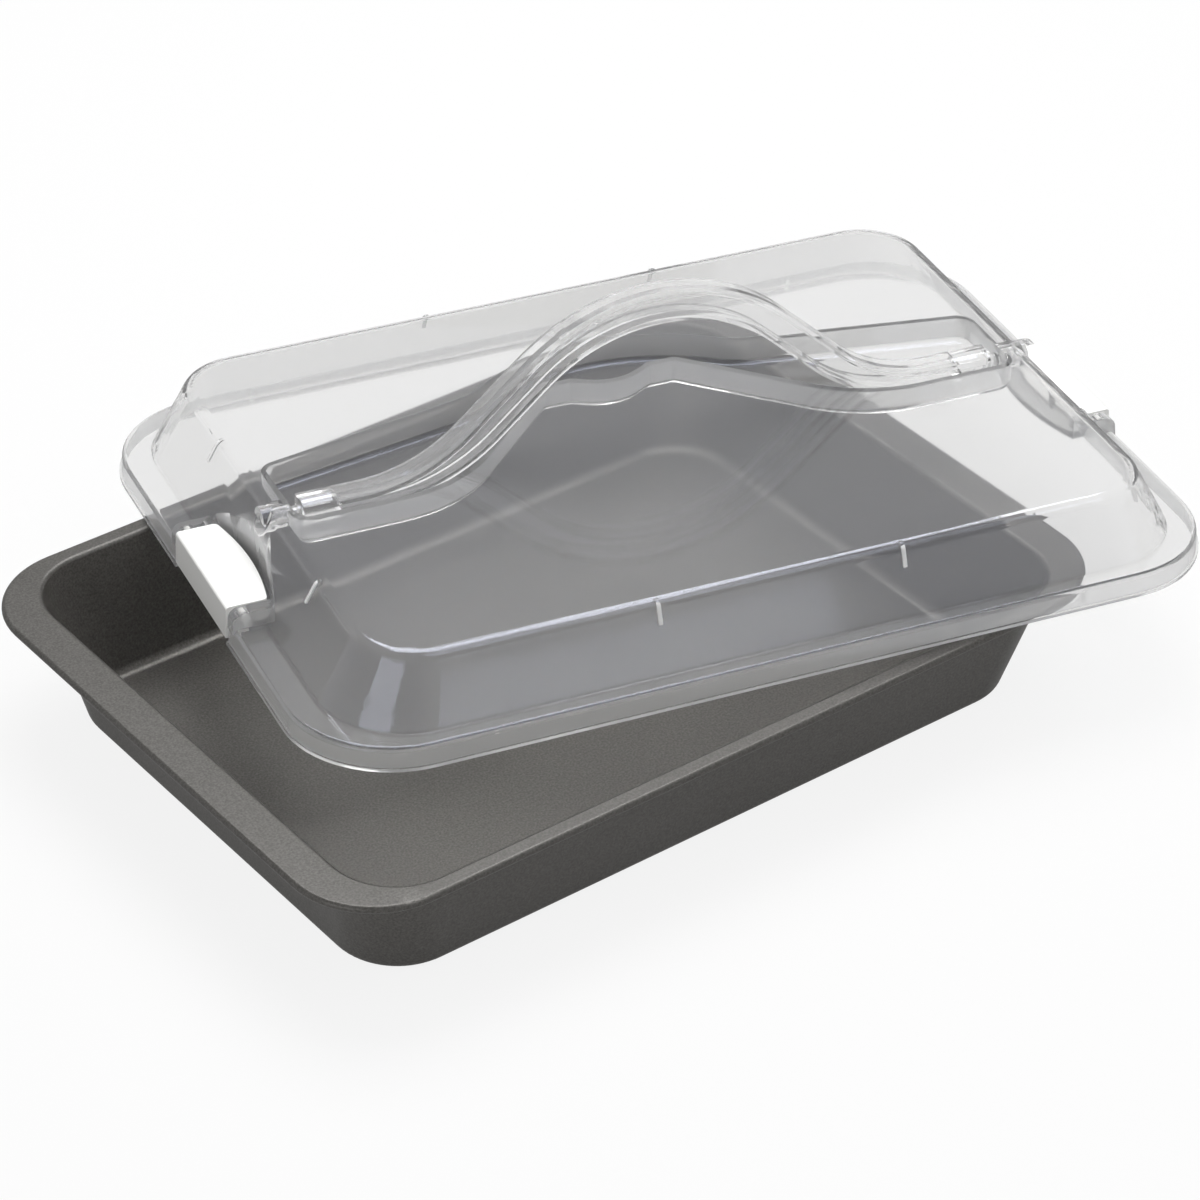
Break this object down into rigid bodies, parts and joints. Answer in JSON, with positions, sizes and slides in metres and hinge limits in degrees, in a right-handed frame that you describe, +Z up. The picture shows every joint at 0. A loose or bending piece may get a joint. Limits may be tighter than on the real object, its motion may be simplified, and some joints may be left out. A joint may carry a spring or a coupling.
{
  "type": "cake pan with lid",
  "caption": "Rectangular dark steel cake pan with rolled rim and a clear domed lid lying askew on it; folding carry handle upright, rocker latches at the ends.",
  "frame": {"origin": "centre of the pan's underside, on the table", "axes": "+X along the pan's long side, +Y along its short side towards the back, +Z up"},
  "size_m": [0.4574, 0.3333, 0.1489],
  "materials": {
    "pan_coating": "dark grey non-stick coating on pressed steel sheet, satin",
    "clear_plastic": "clear moulded plastic, glossy",
    "white_plastic": "white moulded plastic, glossy"
  },
  "bodies": {
    "pan_with_lid": {"pan": "pan_coating", "lid": "clear_plastic"},
    "handle": {"carry_handle": "clear_plastic"},
    "left_rocker": {"left_latch": "white_plastic"},
    "right_rocker": {"right_latch": "white_plastic"}
  },
  "joints": [
    {"name": "handle_fold", "type": "hinge", "parent": "pan_with_lid", "child": "handle", "pos_m": [0.06848, 0.02117, 0.08279], "axis": [-0.9722, 0.2329, 0.0233], "range_deg": [0, 90]},
    {"name": "left_latch_rock", "type": "hinge", "parent": "pan_with_lid", "child": "left_rocker", "pos_m": [-0.11122, 0.06257, 0.06803], "axis": [0.2321, 0.9722, -0.0316], "range_deg": [0, 16]},
    {"name": "right_latch_rock", "type": "hinge", "parent": "pan_with_lid", "child": "right_rocker", "pos_m": [0.24656, -0.02314, 0.05945], "axis": [-0.2321, -0.9722, 0.0316], "range_deg": [0, 16]}
  ]
}
